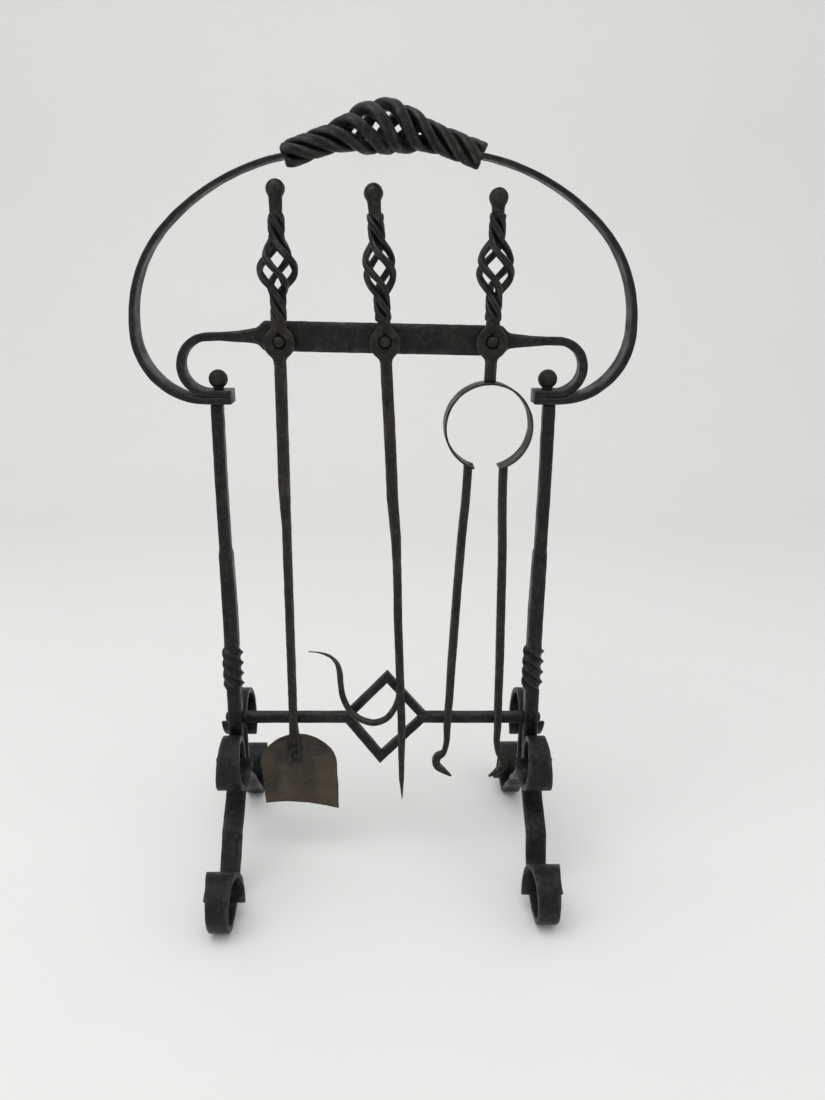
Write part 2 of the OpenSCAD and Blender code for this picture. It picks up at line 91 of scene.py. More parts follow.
def resampled(points, spacing):
    """The smooth curve through the points, with points evenly spaced."""
    p = np.asarray(points, float)
    s = walked(p)
    slope = np.gradient(p, s, axis=0)
    t = np.linspace(0, s[-1], max(2, round(s[-1] / spacing)) + 1)
    i = np.clip(np.searchsorted(s, t, side="right") - 1, 0, len(s) - 2)
    h = (s[i + 1] - s[i])[:, None]
    u = (t - s[i])[:, None] / h
    start = p[i] * (2 * u**3 - 3 * u**2 + 1) + slope[i] * h * (u**3 - 2 * u**2 + u)
    end = p[i + 1] * (3 * u**2 - 2 * u**3) + slope[i + 1] * h * (u**3 - u**2)
    return start + end


def tilted(points, angle, pivot):
    """Points turned about the Y direction through pivot: a positive angle leans the top right."""
    a = math.radians(angle)
    d = np.asarray(points, float) - pivot
    x = d[..., 0] * math.cos(a) + d[..., 2] * math.sin(a)
    z = d[..., 2] * math.cos(a) - d[..., 0] * math.sin(a)
    return np.stack([x, d[..., 1], z], -1) + pivot


# --- skins: each returns (points, faces, edge mask), and the mask is 1 along an edge, where the iron finish paints a highlight mixed with scuffing ----

CORNER_STEPS = 3
SIDE_POINTS = 5


def outline(w, t, r, corner_steps=CORNER_STEPS):
    """Rounded-rectangle outlines for arrays of width, thickness and corner radius."""
    w, t = np.asarray(w, float), np.asarray(t, float)
    r = np.minimum(r, 0.48 * np.minimum(w, t))
    points, edge_mask = [], []
    for sx, sy, start in ((1, 1, 0), (-1, 1, 90), (-1, -1, 180), (1, -1, 270)):
        for i in range(corner_steps + 1):
            a = math.radians(start + 90 * i / corner_steps)
            points.append((sx * (w / 2 - r) + r * math.cos(a), sy * (t / 2 - r) + r * math.sin(a)))
            edge_mask.append(1.0)
        last = points[-1]
        across = start in (0, 180)
        for i in range(1, SIDE_POINTS + 1):
            k = i / (SIDE_POINTS + 1)
            if across:
                points.append((last[0] * (1 - 2 * k), last[1]))
            else:
                points.append((last[0], last[1] * (1 - 2 * k)))
            edge_mask.append(0.0)
    return np.moveaxis(np.array(points), 2, 0), np.array(edge_mask)


def loft(rings, edge_mask, end_round=0.8):
    """A closed skin over rings (m, n, 3), with both ends rounded over and closed by a fan."""
    rings = np.asarray(rings, float)
    ends = []
    for ring, beside in ((rings[0], rings[1]), (rings[-1], rings[-2])):
        centre = ring.mean(0)
        out = unit(centre - beside.mean(0))
        size = np.linalg.norm(ring - centre, axis=1).mean()
        e = min(end_round, 0.4 * size)
        steps = [centre + (ring - centre) * (1 - (1 - math.cos(a)) * e / size) + out * e * math.sin(a)
                 for a in (math.radians(45), math.radians(80))]
        ends.append((steps, centre + out * e))
    rings = np.concatenate([ends[0][0][::-1], rings, ends[1][0]])
    m, n = rings.shape[:2]
    points = np.concatenate([rings.reshape(-1, 3), [ends[0][1], ends[1][1]]])
    faces = []
    for i in range(m - 1):
        for j in range(n):
            k = (j + 1) % n
            faces.append((i * n + j, i * n + k, (i + 1) * n + k, (i + 1) * n + j))
    for j in range(n):
        k = (j + 1) % n
        faces.append((m * n, k, j))
        faces.append((m * n + 1, (m - 1) * n + j, (m - 1) * n + k))
    edge = np.tile(edge_mask, (m, 1))
    edge[[1, -2]] = 1
    return points, faces, np.concatenate([edge.reshape(-1), [0, 0]])


def sweep(path, u, v, w, t, r, end_round=0.8, corner_steps=CORNER_STEPS):
    """A bar along path: u and v are the directions of its width w and its thickness t."""
    count = len(path)
    section, edge_mask = outline(np.broadcast_to(w, count), np.broadcast_to(t, count),
                            np.broadcast_to(r, count), corner_steps)
    u = np.broadcast_to(u, (count, 3))[:, None]
    v = np.broadcast_to(v, (count, 3))[:, None]
    rings = np.asarray(path, float)[:, None] + section[..., :1] * u + section[..., 1:] * v
    return loft(rings, edge_mask, end_round)


def bent_bar(path, w, t, r, spread=Y_AXIS, **options):
    """A flat bar bent on edge: its width lies along spread, and path bends across it."""
    tangent = unit(np.gradient(path, axis=0))
    return sweep(path, spread, unit(np.cross(tangent, spread)), w, t, r, **options)


def rod(path, out, w, r, **options):
    """A twisted rod: its face turns with out along the path."""
    tangent = unit(np.gradient(path, axis=0))
    u = unit(out - tangent * (out * tangent).sum(1, keepdims=True))
    return sweep(path, u, np.cross(tangent, u), w, w, r, **options)


def lathe(profile, base, axis, sides=40):
    """A turned solid: profile is (radius, distance along axis), and starts and ends on the axis."""
    profile = np.asarray(profile, float)
    axis = unit(np.asarray(axis, float))
    side = unit(np.cross(axis, X_AXIS if abs(axis[0]) < 0.9 else Z_AXIS))
    other = np.cross(axis, side)
    a = np.linspace(0, 2 * math.pi, sides, endpoint=False)
    circle = np.cos(a)[:, None] * side + np.sin(a)[:, None] * other
    inner = profile[1:-1]
    rings = [np.asarray(base, float) + r * circle + z * axis for r, z in inner]
    tips = [np.asarray(base, float) + profile[i][1] * axis for i in (0, -1)]
    points = np.concatenate(rings + [tips])
    m, n = len(inner), sides
    faces = []
    for i in range(m - 1):
        for j in range(n):
            k = (j + 1) % n
            faces.append((i * n + j, i * n + k, (i + 1) * n + k, (i + 1) * n + j))
    for j in range(n):
        k = (j + 1) % n
        faces.append((m * n, k, j))
        faces.append((m * n + 1, (m - 1) * n + j, (m - 1) * n + k))
    return points, faces, np.zeros(len(points))


def flipped(part, side):
    """The part, mirrored in X when side is LEFT."""
    points, faces, edge_mask = part
    return points * np.array([1.0 if side == RIGHT else -1.0, 1.0, 1.0]), faces, edge_mask


WAVES = 9


def ripple(points, wavelength, seed):
    """Smooth even noise, about -1 to 1, with dents about that far apart."""
    random = np.random.default_rng(seed)
    total = np.zeros(len(points))
    for _ in range(WAVES):
        direction = unit(random.normal(size=3))
        turns = 2 * math.pi / (wavelength * random.uniform(0.7, 1.5))
        total += np.sin(points @ direction * turns + random.uniform(0, 2 * math.pi))
    return total / math.sqrt(WAVES)


def build(name, parts, body, slot, nodes, dents=((14.0, 0.1), (4.0, 0.03)), sharp=42):
    """Makes one piece from its parts, dents it as a hammer does, and sets it in the frame."""
    points = np.concatenate([p[0] for p in parts])
    faces, start = [], 0
    for part in parts:
        faces.extend(tuple(start + i for i in face) for face in part[1])
        start += len(part[0])
    mesh = bpy.data.meshes.new(name)
    mesh.from_pydata(points.tolist(), [], faces)
    tidy = bmesh.new()
    tidy.from_mesh(mesh)
    bmesh.ops.recalc_face_normals(tidy, faces=tidy.faces)
    tidy.to_mesh(mesh)
    tidy.free()
    normals = np.zeros(len(points) * 3, np.float32)
    mesh.vertex_normals.foreach_get("vector", normals)
    seed = sum(name.encode())
    shift = sum(depth * ripple(points, length, seed + i) for i, (length, depth) in enumerate(dents))
    points = points + normals.reshape(-1, 3) * shift[:, None]
    mesh.vertices.foreach_set("co", (points * MM).astype(np.float32).reshape(-1))
    on_edge = mesh.attributes.new("edge_mask", "FLOAT", "POINT")
    on_edge.data.foreach_set("value", np.concatenate([p[2] for p in parts]).astype(np.float32))
    mesh.shade_smooth()
    mesh.set_sharp_from_angle(angle=math.radians(sharp))
    mesh.update()
    piece = bpy.data.objects.new(name, mesh)
    bpy.context.scene.collection.objects.link(piece)
    piece.data.materials.append(FINISHES[slot])
    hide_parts(*nodes)
    if body:
        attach(piece, body)
    return piece


# --- finishes -----------------------------------------------------------------------------


class Nodes:
    """A short way to write a material's node tree."""

    def __init__(self, name):
        self.material = bpy.data.materials.new(name)
        self.material.use_nodes = True
        self.tree = self.material.node_tree
        self.tree.nodes.clear()
        self.place = self.add("ShaderNodeTexCoord").outputs["Object"]

    def add(self, kind, inputs=None, **settings):
        node = self.tree.nodes.new(kind)
        for key, value in settings.items():
            setattr(node, key, value)
        for key, value in (inputs or {}).items():
            if isinstance(value, bpy.types.NodeSocket):
                self.tree.links.new(value, node.inputs[key])
            else:
                node.inputs[key].default_value = value
        return node

    def noise(self, scale, detail=3.0, rough=0.55, stretch=None):
        place = self.place
        if stretch:
            place = self.add("ShaderNodeMapping", {"Vector": place, "Scale": stretch}).outputs[0]
        inputs = {"Vector": place, "Scale": scale, "Detail": detail, "Roughness": rough}
        return self.add("ShaderNodeTexNoise", inputs).outputs["Fac"]

    def spread(self, value, lo, hi, to_lo=0.0, to_hi=1.0):
        inputs = {"Value": value, "From Min": lo, "From Max": hi, "To Min": to_lo, "To Max": to_hi}
        return self.add("ShaderNodeMapRange", inputs, interpolation_type="SMOOTHSTEP").outputs[0]

    def math(self, operation, a, b):
        node = self.add("ShaderNodeMath", {0: a, 1: b}, operation=operation, use_clamp=True)
        return node.outputs[0]

    def mix(self, factor, a, b):
        node = self.add("ShaderNodeMix", data_type="RGBA")
        for key, value in (("Factor", factor), ("A", a), ("B", b)):
            socket = next(s for s in node.inputs if s.name == key and s.enabled)
            if isinstance(value, bpy.types.NodeSocket):
                self.tree.links.new(value, socket)
            else:
                socket.default_value = value
        return next(s for s in node.outputs if s.enabled)

    def dents(self, pairs):
        """Bumps stacked one on another: pairs of (height, depth in metres)."""
        normal = None
        for height, depth in pairs:
            inputs = {"Height": height, "Distance": depth, "Strength": 1.0}
            if normal:
                inputs["Normal"] = normal
            normal = self.add("ShaderNodeBump", inputs).outputs[0]
        return normal

    def finish(self, inputs):
        shader = self.add("ShaderNodeBsdfPrincipled", inputs)
        output = self.add("ShaderNodeOutputMaterial")
        self.tree.links.new(shader.outputs[0], output.inputs["Surface"])
        return self.material


def rgb(r, g, b):
    """An opaque colour, linear."""
    return (r, g, b, 1.0)


def iron(name, dark, light, patina, patina_share, rubbed_and_highlight, metallic):
    """Hammered iron: fire scale in two greys, patches of patina, light flecks, and a painted highlight
    mixed with scuffing along every edge.
    """
    n = Nodes(name)
    blotch = n.spread(n.noise(38.0, 4.0), 0.36, 0.66)
    grain = n.noise(420.0, 4.0, 0.65)
    colour = n.mix(blotch, dark, light)
    patches = n.spread(n.noise(24.0, 6.0, 0.62), 0.62 - patina_share, 0.74 - 0.5 * patina_share)
    speckle = n.spread(grain, 0.42, 0.62, 0.35, 1.0)
    colour = n.mix(n.math("MULTIPLY", patches, speckle), colour, patina)
    flecks = n.spread(n.noise(170.0, 6.0, 0.7), 0.46, 0.74, 0.0, 0.5)
    colour = n.mix(flecks, colour, rubbed_and_highlight)
    on_edge = n.add("ShaderNodeAttribute", attribute_name="edge_mask").outputs["Fac"]
    # Painted highlight along every edge, partly real scuffing: the edge mask times a noise lightens the
    # colour.
    edge_highlight_and_scuff = n.math("MULTIPLY", on_edge, n.spread(n.noise(75.0, 4.0, 0.6), 0.4, 0.68, 0.1, 0.8))
    colour = n.mix(edge_highlight_and_scuff, colour, rubbed_and_highlight)
    rough = n.spread(n.math("ADD", n.math("MULTIPLY", grain, 0.5), n.math("MULTIPLY", blotch, 0.5)),
                     0.2, 0.8, 0.36, 0.6)
    hammered = n.noise(150.0, 2.0, 0.5)
    pits = n.spread(n.noise(900.0, 3.0, 0.7), 0.3, 0.5)
    normal = n.dents(((hammered, 0.0005), (grain, 0.0002), (pits, 0.00006)))
    return n.finish({"Base Color": colour, "Metallic": metallic, "Roughness": rough, "Normal": normal,
                     "Specular IOR Level": 0.32})


def rusted(name):
    """Old sheet that has rusted brown all over, darker round its rim and scratched across."""
    n = Nodes(name)
    grain = n.noise(520.0, 5.0, 0.7)
    cloud = n.spread(n.noise(30.0, 5.0, 0.6), 0.34, 0.68)
    colour = n.mix(cloud, rgb(0.017, 0.0145, 0.0105), rgb(0.062, 0.047, 0.029))
    speckle = n.spread(grain, 0.5, 0.68)
    colour = n.mix(n.math("MULTIPLY", speckle, 0.6), colour, rgb(0.08, 0.055, 0.031))
    scratch = n.spread(n.noise(60.0, 3.0, 0.6, stretch=(1.0, 1.0, 14.0)), 0.62, 0.7)
    colour = n.mix(n.math("MULTIPLY", scratch, 0.35), colour, rgb(0.11, 0.1, 0.085))
    # Darker round the rim, where the edge mask is 1.
    on_edge = n.add("ShaderNodeAttribute", attribute_name="edge_mask").outputs["Fac"]
    colour = n.mix(n.math("MULTIPLY", on_edge, 0.5), colour, rgb(0.014, 0.012, 0.01))
    rough = n.spread(grain, 0.3, 0.7, 0.55, 0.8)
    normal = n.dents(((n.noise(90.0, 2.0), 0.0012), (grain, 0.0004)))
    return n.finish({"Base Color": colour, "Metallic": 0.25, "Roughness": rough, "Normal": normal})


# The last colour of each iron serves its random light flecks and the painted highlight along its edges.
FINISHES = {
    "forged_iron": iron("forged_iron", rgb(0.0036, 0.004, 0.0042), rgb(0.0085, 0.0095, 0.0095),
                        rgb(0.022, 0.018, 0.012), 0.1, rgb(0.046, 0.048, 0.044), 0.4),
    "worn_iron": iron("worn_iron", rgb(0.0055, 0.0053, 0.0045), rgb(0.0145, 0.0138, 0.0115),
                      rgb(0.036, 0.027, 0.017), 0.16, rgb(0.062, 0.06, 0.048), 0.4),
    "rusted_sheet": rusted("rusted_sheet"),
}

# --- stand --------------------------------------------------------------------------------

POST_X = 168.0
POST_SIDE = 15.4
POST_TOP_SIDE = 12.4
SHOULDER_Z = 528.5
STEP_Z = 372.0
POST_FOOT_Z = 100.0
TWIST_Z = 233.5
TWIST_LENGTH = 50.0
TWIST_SWELL = 1.9
POST_SPLAY = 2.5
LEAN_FROM_Z, LEAN_TO_Z = 295.0, 450.0
BALL_D = 19.5
BAR_T = 7.0
BAR_OVERHANG = 13.5
BAR_W = 30.0


def post(side):
    """Square bar: twisted low down, then drawn thinner and leaning outwards above."""
    low, high = TWIST_Z - TWIST_LENGTH / 2, TWIST_Z + TWIST_LENGTH / 2
    z = np.concatenate([np.arange(POST_FOOT_Z, low, 3.0), np.arange(low, high, 0.8),
                        np.arange(high, SHOULDER_Z + 0.01, 2.6)])
    turn = 2 * math.pi * np.clip((z - low) / TWIST_LENGTH, 0, 1)
    knots = ((0, POST_SIDE), (LEAN_FROM_Z, POST_SIDE), (STEP_Z - 6, 14.4), (STEP_Z + 1, POST_TOP_SIDE))
    width = along(knots, z) + TWIST_SWELL * ease(np.sin(turn / 2), 0, 0.3)
    leans = ((LEAN_FROM_Z, 0), (STEP_Z - 6, 0.5), (STEP_Z, 0.6), (LEAN_TO_Z, 1))
    path = np.stack([side * (POST_X + POST_SPLAY * along(leans, z)), 0 * z, z], 1)
    u = np.stack([np.cos(turn), -np.sin(turn), 0 * z], 1)
    v = np.stack([np.sin(turn), np.cos(turn), 0 * z], 1)
    radius = 1.2 - 0.5 * np.sin(turn / 2)
    return [sweep(path, u, v, width, width, radius)]


def ball(side):
    """Ball on a short neck, on the post's tenon."""
    neck = 0.28 * BALL_D
    middle = 0.53 * BALL_D
    r = BALL_D / 2
    low = math.asin(neck / r)
    profile = [(0, 0), (neck - 0.4, 0), (neck, 0.5)]
    for a in np.linspace(-math.pi / 2 + low, math.pi / 2, 14)[:-1]:
        profile.append((r * math.cos(a), middle + r * math.sin(a)))
    profile.append((0, middle + r))
    return [lathe(profile, (side * POST_X, 0, SHOULDER_Z + 2 * BAR_T), Z_AXIS)]


HOOP_SIDE_X, HOOP_SIDE_Z = 249.0, 607.5
HOOP_LOW_R, HOOP_MID_R, HOOP_TOP_R = 70.0, 132.0, 224.0
HOOP_LOW = np.array([HOOP_SIDE_X - HOOP_LOW_R, SHOULDER_Z + BAR_T / 2 + HOOP_LOW_R])
HOOP_MID = np.array([HOOP_SIDE_X - HOOP_MID_R, HOOP_SIDE_Z])
HOOP_TOP = HOOP_MID - (HOOP_TOP_R - HOOP_MID_R) * math.cos(math.pi / 4)
HOOP_PATH = np.concatenate([
    [[POST_X - BAR_OVERHANG, SHOULDER_Z + BAR_T / 2], [POST_X, SHOULDER_Z + BAR_T / 2]],
    arc(HOOP_LOW, HOOP_LOW_R, HOOP_LOW_R, 270, 360, 16),
    arc(HOOP_MID, HOOP_MID_R, HOOP_MID_R, 0, 45, 10),
    arc(HOOP_TOP, HOOP_TOP_R, HOOP_TOP_R, 45, 79.6, 8)[1:]])
HOOP_WIDTH = ((0, BAR_W), (90, BAR_W), (165, 23), (325, 17), (600, 15))
HOOP_THICK = ((0, BAR_T), (60, BAR_T), (150, 6), (300, 5.2), (600, 5))


def upright(path2d):
    """A path in (across, up) stood up in the object's own space."""
    return np.stack([path2d[:, 0], np.zeros(len(path2d)), path2d[:, 1]], 1)


def hoop_arm(side):
    """Half of the hoop: flat bar, drawn thinner and narrower on its way up."""
    path = upright(resampled(HOOP_PATH, 2.5))
    s = walked(path)
    return [flipped(bent_bar(path, along(HOOP_WIDTH, s), along(HOOP_THICK, s), 1.3), side)]


ARCH_END = HOOP_PATH[-1]
ARCH_RISE = 25.8
ARCH_POWER = 1.4
STRAND_D, STRAND_MID_D = 9.6, 11.2
STRAND_PITCH = 84.0
BASKET_R = 19.0
BASKET_SPAN = 33.0
BASKET_X = 2.0
PACKING = 0.825


def handle_strand(k):
    """One of the four rods that wind along a peaked arch and open into a basket in the middle."""
    x = np.linspace(-ARCH_END[0], ARCH_END[0], 180)
    share = np.abs(x) / ARCH_END[0]
    line = np.stack([x, 0 * x, ARCH_END[1] + ARCH_RISE * (1 - share**ARCH_POWER)], 1)
    slope = ARCH_POWER * ARCH_RISE / ARCH_END[0] * share ** (ARCH_POWER - 1)
    up = unit(np.stack([np.sign(x) * slope, 0 * x, np.ones_like(x)], 1))
    swell = np.exp(-(np.abs(x) / BASKET_SPAN) ** 2.5)[:, None]
    turn = np.radians(90 * k - 360 * (x - BASKET_X) / STRAND_PITCH)[:, None]
    out = np.cos(turn) * up + np.sin(turn) * Y_AXIS
    tight = PACKING * STRAND_D
    path = line + out * (tight + (BASKET_R - tight) * swell)
    width = (STRAND_D + (STRAND_MID_D - STRAND_D) * swell)[:, 0]
    return [rod(path, out, width, 0.26 * width, end_round=2.0)]


PLATE_HALF = 122.0
PLATE_Z = 595.0
PLATE_H = 30.0
PLATE_T = 6.0
PLATE_TILT = 1.2
PLATE_PIVOT_X = -85.0
SCROLL_BOTTOM_Z = SHOULDER_Z + 1.5 * BAR_T
SCROLL_TOP_Z = {LEFT: 594.8, RIGHT: 590.4}
SCROLL_X = {LEFT: POST_X + 8.6, RIGHT: POST_X + 9}
SCROLL_HEIGHT = ((-3.5, PLATE_H), (-1, PLATE_H - 2.5), (2, 21), (5, 16), (13, 13.4), (26, 10.8),
                 (42, 8.4), (100, 8.4), (135, BAR_T), (200, BAR_T))
SCROLL_DEPTH = ((-2, PLATE_T), (5, PLATE_T), (26, 9), (52, 11), (95, 15), (120, 23), (140, BAR_W),
                (200, BAR_W))
PEG_X = (-103.0, 2.0, 108.2)
PEG_Z = 590.7
PEG_R = 5.5


def plate_z(x):
    """Height of the plate's middle: it was riveted up a little out of level."""
    return PLATE_Z - (x - PLATE_PIVOT_X) * math.tan(math.radians(PLATE_TILT))


def crossbar_half(side):
    """From the middle of the plate out to the scroll and down onto the post."""
    top, z = SCROLL_TOP_Z[side], plate_z(side * PLATE_HALF)
    r = (top - SCROLL_BOTTOM_Z) / 2
    plate = [[x, plate_z(side * x)] for x in (0, 40, 80, PLATE_HALF - 12, PLATE_HALF)]
    neck = [[PLATE_HALF + 4, z], [PLATE_HALF + 26, (z + 2 * top) / 3]]
    scroll = arc((SCROLL_X[side], SCROLL_BOTTOM_Z + r), r, r, 90, -90, 24)
    rest = [[POST_X, SCROLL_BOTTOM_Z], [POST_X - BAR_OVERHANG, SCROLL_BOTTOM_Z]]
    return resampled(np.concatenate([plate, neck, scroll, rest]), 2.0)


def crossbar():
    """Upright plate with chamfered edges, whose ends flatten and scroll down onto the posts."""
    halves = [crossbar_half(LEFT), crossbar_half(RIGHT)]
    past = [walked(half) - PLATE_HALF for half in halves]
    path = upright(np.concatenate([halves[0][:0:-1] * [-1, 1], halves[1]]))
    s = np.concatenate([past[0][:0:-1], past[1]])
    chamfer = along(((0, 2.2), (20, 2.2), (54, 1.2)), s)
    return [bent_bar(path, along(SCROLL_DEPTH, s), along(SCROLL_HEIGHT, s), chamfer, corner_steps=1)]


PEG_TIP_Y = -24.0
PEG_DOME = 3.4
PEG_HEAD = ((6.6, 0), (7, 0.5), (6.8, 1.8), (5, 3.2), (0, 3.8))


def peg(x):
    """Peg with a domed tip, through the plate and headed over behind it."""
    profile = [(0, PEG_TIP_Y)]
    for a in np.radians(np.linspace(20, 90, 7)):
        profile.append((PEG_R * math.sin(a), PEG_TIP_Y + PEG_DOME * (1 - math.cos(a))))
    back = PLATE_T / 2 + 0.2
    profile.append((PEG_R, back))
    profile += [(r, back + y) for r, y in PEG_HEAD]
    return [lathe(profile, (x, 0, PEG_Z), Y_AXIS)]


RAIL_Z = 172.0
RAIL_SIDE = 11.0
DIAMOND = np.array([[53, 173], [5, 229], [-48, 173], [-3.5, 114.5]])
DIAMOND_C = np.array([3, 174])
DIAMOND_OPEN = 0.75
DIAMOND_T = 9.0
RAIL_END = {LEFT: 38.0, RIGHT: 43.0}
TENON_HEAD = ((0, -1), (6, -0.5), (6.5, 0.2), (6.3, 1.4), (4.6, 3), (2.4, 3.7), (0, 3.8))


def rail(side):
    """Square rail from the diamond to the post, with its tenon's head outside the post."""
    outer = POST_X - POST_SIDE / 2
    path = np.arange(RAIL_END[side] - 3, outer + 1.5, 2.5)[:, None] * X_AXIS + RAIL_Z * Z_AXIS
    bar = sweep(path, Y_AXIS, Z_AXIS, RAIL_SIDE, RAIL_SIDE, 1.3)
    head = lathe(TENON_HEAD, (outer + POST_SIDE, 0, RAIL_Z), X_AXIS)
    return [flipped(bar, side), flipped(head, side)]


def diamond_half(corners):
    """Two sides of the open diamond, one bar bent at the middle corner."""
    outer, inner = [], []
    for a, b in ((corners[0], corners[1]), (corners[1], corners[2])):
        k = np.linspace(0, 1, 26)[:, None]
        line = a + (b - a) * k
        outer.append(line if not outer else line[1:])
        inner.append(DIAMOND_C + (outer[-1] - DIAMOND_C) * DIAMOND_OPEN)
    outer, inner = upright(np.concatenate(outer)), upright(np.concatenate(inner))
    thick = np.linalg.norm(outer - inner, axis=1)
    return [sweep((outer + inner) / 2, Y_AXIS, unit(outer - inner), DIAMOND_T, thick, 1.3)]


LEG_T = 6.0
LEG_W = 22.5
LEG_BACK = POST_SIDE / 2 + LEG_T / 2
CURL_R = 27.0
CURL_Z = {FRONT: 134.5, REAR: 158.0}
FOOT_R = 31.0
FOOT_MID_R = FOOT_R - LEG_T / 2
FOOT_BOTTOM_Z = LEG_T / 2 - 0.6
FOOT_Y = {(LEFT, FRONT): 137.0, (RIGHT, FRONT): 124.0, (LEFT, REAR): 134.0, (RIGHT, REAR): 137.0}
KNEE = (54, 57)
SWEEP_R = {FRONT: 62.0, REAR: 30.0}
LEG_OUT = {(RIGHT, FRONT): 2.5}
UPPER_WIDTH = ((0, 42), (20, 37), (36, 31), (69, 27), (112, 20.5), (154, 20.5), (190, LEG_W),
               (600, LEG_W))
LOWER_WIDTH = ((0, 45), (25, 39), (45, 32), (65, 26), (89, 23), (133, 21.5), (180, LEG_W - 1),
               (220, LEG_W))
LOWER_LENGTH = 220.0
TIP_LENGTH = 40.0
TIP_THINNER = 2.2


def leg_path(side, end):
    """An S in (distance from the post, height). Every leg was forged by eye to its own length."""
    curl = (LEG_BACK + CURL_R, CURL_Z[end])
    foot = (FOOT_Y[side, end], FOOT_BOTTOM_Z + FOOT_MID_R)
    r = SWEEP_R[end]
    return np.concatenate([
        arc(curl, 16, CURL_R, 195, 290, 9),
        arc(curl, CURL_R, CURL_R, 290, 540, 20)[1:],
        arc((LEG_BACK + 22, 108), 22, 22, 180, 222, 6),
        arc(KNEE, 4, 4, 56, 26, 3),
        arc((foot[0] - 6, FOOT_BOTTOM_Z + r), r, r, 216, 270, 8),
        arc(foot, FOOT_MID_R, FOOT_MID_R, 270, 450, 20),
        arc(foot, FOOT_MID_R - 1, 16, 468, 580, 9)])


def leg(side, end):
    """An S of flat bar whose two ends spread into fishtails and curl in on themselves."""
    path2d = resampled(leg_path(side, end), 1.8)
    t = walked(path2d)
    total = t[-1]
    lower = total - t <= LOWER_LENGTH
    width = np.where(lower, along(LOWER_WIDTH, total - t), along(UPPER_WIDTH, t))
    tip = 1 - ease(t, 0, TIP_LENGTH)
    toe = ease(t, total - TIP_LENGTH, total)
    thick = LEG_T - TIP_THINNER * tip - TIP_THINNER * toe
    x = POST_X + LEG_OUT.get((side, end), 0.0)
    path = np.stack([np.full(len(t), x), end * path2d[:, 0], path2d[:, 1]], 1)
    return [flipped(bent_bar(path, width, thick, 1.1, spread=X_AXIS), side)]


RIVET_HEAD = ((0, -2.4), (1.8, -2.25), (3.4, -1.6), (4.5, 0.2), (3.5, 0.6))
LEG_RIVET_Z = (122, 112)


def leg_rivets(side):
    """Two rivets through both legs and the post, headed over at both ends."""
    reach = LEG_BACK + LEG_T / 2
    head = [(r, y - reach) for r, y in RIVET_HEAD]
    profile = head + [(r, -y) for r, y in head[::-1]]
    return [lathe(profile, (side * POST_X, 0, z), Y_AXIS, 28) for z in LEG_RIVET_Z]


# --- tools --------------------------------------------------------------------------------

TOOL_Y = -14.0
TOOLS = ("shovel", "poker", "tongs")
HANDLE_LEAN = {"shovel": 0.3, "poker": -4.6, "tongs": 0.8}
SHANK_LEAN = {"shovel": 0.0, "poker": -2.05, "tongs": 1.0}
STEM_TOP = {"shovel": 141.5, "poker": 138.0, "tongs": 133.5}
PIVOT = {tool: np.array([PEG_X[i], TOOL_Y, PEG_Z]) for i, tool in enumerate(TOOLS)}
KNOB_D = 18.6
TWIST_LOW, TWIST_HIGH = 22.0, 118.0
CAGE_LOW, CAGE_HIGH = 0.235, 0.765
CAGE_R = {"shovel": 17.3, "poker": 14.88, "tongs": 17.3}
HANDLE_TURN = {"shovel": 27.0, "poker": -10.0, "tongs": -10.0}
WHOLE_TURN = 430.0
TURN_UNEVEN = 0.3
ROD_D = 6.2
ROD_PACKING = 0.815
EYE_HOLE_D = 12.4
EYE_R = 15.6
EYE_SINK = 1.0
EYE_T = 7.0
EYE_DROP = EYE_HOLE_D / 2 - PEG_R - 0.03
EYE_ROUNDING = np.array([0.8, 0, 0, 0.6, 1.9])
NECK_DEPTH = 11.6


def hung(tool, part, lean):
    """A part drawn round the tool's peg, leaned and hung in its place."""
    points, faces, edge_mask = part
    return tilted(points + PIVOT[tool], lean[tool], PIVOT[tool]), faces, edge_mask


def handle_rod(tool, k):
    """One of the four rods of a handle: tight at both ends and open in the middle."""
    u = np.linspace(0, 1, 120)
    turned = WHOLE_TURN * (u + TURN_UNEVEN * np.sin(2 * math.pi * u) / (2 * math.pi))
    turn = np.radians(90 * k + HANDLE_TURN[tool] - turned)
    out = np.stack([np.cos(turn), np.sin(turn), 0 * u], 1)
    v = np.clip((u - CAGE_LOW) / (CAGE_HIGH - CAGE_LOW), 0, 1)
    tight = ROD_PACKING * ROD_D
    radius = tight + (CAGE_R[tool] - tight) * np.sin(math.pi * v) ** 1.25
    path = out * radius[:, None] + Z_AXIS * (TWIST_LOW + (TWIST_HIGH - TWIST_LOW) * u)[:, None]
    return [hung(tool, rod(path, out, ROD_D, 0.25 * ROD_D, end_round=1.5), HANDLE_LEAN)]


STEM = ((0, -4), (5.6, -3), (6.1, 0), (6.3, 6))
STEM_R = 6.7


def knob(tool):
    """Stem above the twist, and the ball that ends it."""
    top = STEM_TOP[tool]
    r = KNOB_D / 2
    low = math.asin(STEM_R / r)
    profile = [(width, TWIST_HIGH + z) for width, z in STEM] + [(STEM_R, top - 7)]
    for a in np.linspace(-math.pi / 2 + low, math.pi / 2, 14)[1:-1]:
        profile.append((r * math.cos(a), top + r * math.sin(a)))
    profile.append((0, top + r))
    return [hung(tool, lathe(profile, (0, 0, 0), Z_AXIS), HANDLE_LEAN)]


